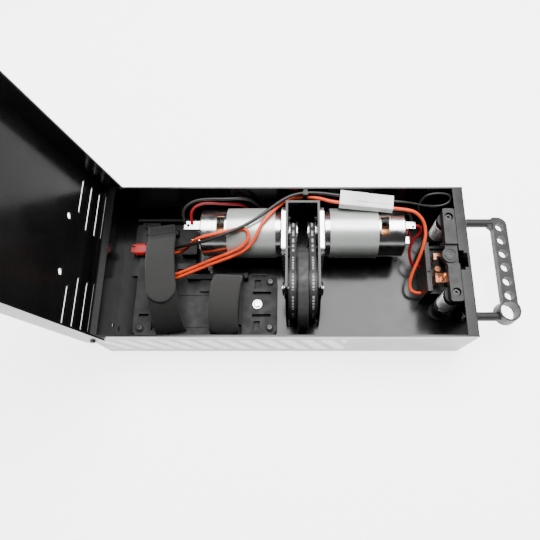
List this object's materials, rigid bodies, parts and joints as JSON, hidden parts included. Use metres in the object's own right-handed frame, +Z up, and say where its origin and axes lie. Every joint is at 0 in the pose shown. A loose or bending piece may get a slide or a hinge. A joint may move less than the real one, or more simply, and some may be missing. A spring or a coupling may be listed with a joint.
{
  "type": "model car starter box",
  "caption": "Sheet-metal case with hinged lid, belt-driven rubber starter wheel, motors, battery tray and carry handle.",
  "frame": {"origin": "centre of the case's flat underside", "axes": "+X from the hinge end to the handle end, +Y from the front wall to the back wall, +Z up; the lid stands open at rest"},
  "size_m": [0.4157, 0.1406, 0.3596],
  "materials": {
    "black_paint": "gloss",
    "plated_screw": "polished",
    "black_screw": "satin",
    "bare_steel": "satin",
    "flux_ring_paint": "satin",
    "alloy": "satin",
    "black_moulding": "satin",
    "armature_core": "satin",
    "belt_rubber": "matte",
    "tyre_rubber": "matte",
    "webbing": "matte",
    "copper": "satin",
    "white_moulding": "satin",
    "red_moulding": "gloss",
    "black_silicone": "satin",
    "red_silicone": "satin",
    "dark_red_silicone": "satin"
  },
  "bodies": {
    "chassis": {"case_body": "black_paint", "end_wall_left": "black_paint", "end_wall_right": "black_paint", "motor_bracket": "black_paint", "lid_pivot_screws": "plated_screw", "tray_centre_screw": "plated_screw", "handle_screws": "plated_screw", "bracket_screws": "black_screw", "motor_screws": "black_screw", "tray_screws": "black_screw", "motor_terminals": "bare_steel", "motor_left_can": "bare_steel", "motor_right_can": "bare_steel", "bar_springs": "bare_steel", "axle_bearings": "black_screw", "motor_left_flux_ring": "flux_ring_paint", "motor_right_flux_ring": "flux_ring_paint", "motor_mount_left": "alloy", "motor_mount_right": "alloy", "motor_left_endbell": "black_moulding", "motor_right_endbell": "black_moulding", "battery_tray": "black_moulding", "spring_posts": "black_moulding", "switch_housing": "black_moulding", "handle": "black_moulding", "cable_tie": "black_moulding", "drive_belt_left": "belt_rubber", "drive_belt_right": "belt_rubber", "strap_left": "webbing", "strap_right": "webbing", "fixed_contacts": "copper", "connector_plug": "white_moulding", "connector_socket": "white_moulding", "battery_plug": "red_moulding", "battery_lead_black": "black_silicone", "jumper_black": "black_silicone", "supply_lead_black": "black_silicone", "battery_lead_red": "red_silicone", "main_lead_red": "red_silicone", "jumper_red": "red_silicone", "supply_lead_red": "red_silicone", "motor_lead_dark_red": "dark_red_silicone"},
    "lid": {"lid": "black_paint", "lid_striker": "black_paint"},
    "wheel": {"wheel_hub": "black_moulding", "wheel_tyre": "tyre_rubber", "pulley_left": "black_moulding", "pulley_right": "black_moulding", "wheel_axle": "bare_steel", "axle_retainers": "black_screw"},
    "rotor_left": {"motor_left_armature": "armature_core", "pinion_left": "alloy"},
    "rotor_right": {"motor_right_armature": "armature_core", "pinion_right": "alloy"},
    "bar": {"contact_bar": "black_moulding", "bar_screws": "black_screw", "contact_bridge": "copper"},
    "latch": {"latch": "black_moulding"}
  },
  "joints": [
    {"name": "lid_hinge", "type": "hinge", "parent": "chassis", "child": "lid", "pos_m": [-0.1505, 0, 0.0555], "axis": [0, 1, 0], "range_deg": [0, 100]},
    {"name": "wheel_spin", "type": "hinge", "parent": "chassis", "child": "wheel", "pos_m": [0.0165, -0.0195, 0.04], "axis": [1, 0, 0], "continuous": true},
    {"name": "motor_left_spin", "type": "hinge", "parent": "chassis", "child": "rotor_left", "pos_m": [0.0165, 0.0345, 0.0346], "axis": [1, 0, 0], "continuous": true},
    {"name": "motor_right_spin", "type": "hinge", "parent": "chassis", "child": "rotor_right", "pos_m": [0.0165, 0.0345, 0.0346], "axis": [1, 0, 0], "continuous": true},
    {"name": "bar_press", "type": "slide", "parent": "chassis", "child": "bar", "axis": [0, 0, 1], "range_m": [-0.003, 0], "stiffness_N_per_m": 1500, "springref_m": 0.003, "deforming": ["bar_springs"]},
    {"name": "latch_slide", "type": "slide", "parent": "chassis", "child": "latch", "axis": [1, 0, 0], "range_m": [-0.003, 0], "stiffness_N_per_m": 300, "springref_m": 0.003}
  ],
  "couplings": [
    {"joint": "motor_left_spin", "follows": "wheel_spin", "ratio": 3},
    {"joint": "motor_right_spin", "follows": "wheel_spin", "ratio": 3}
  ]
}
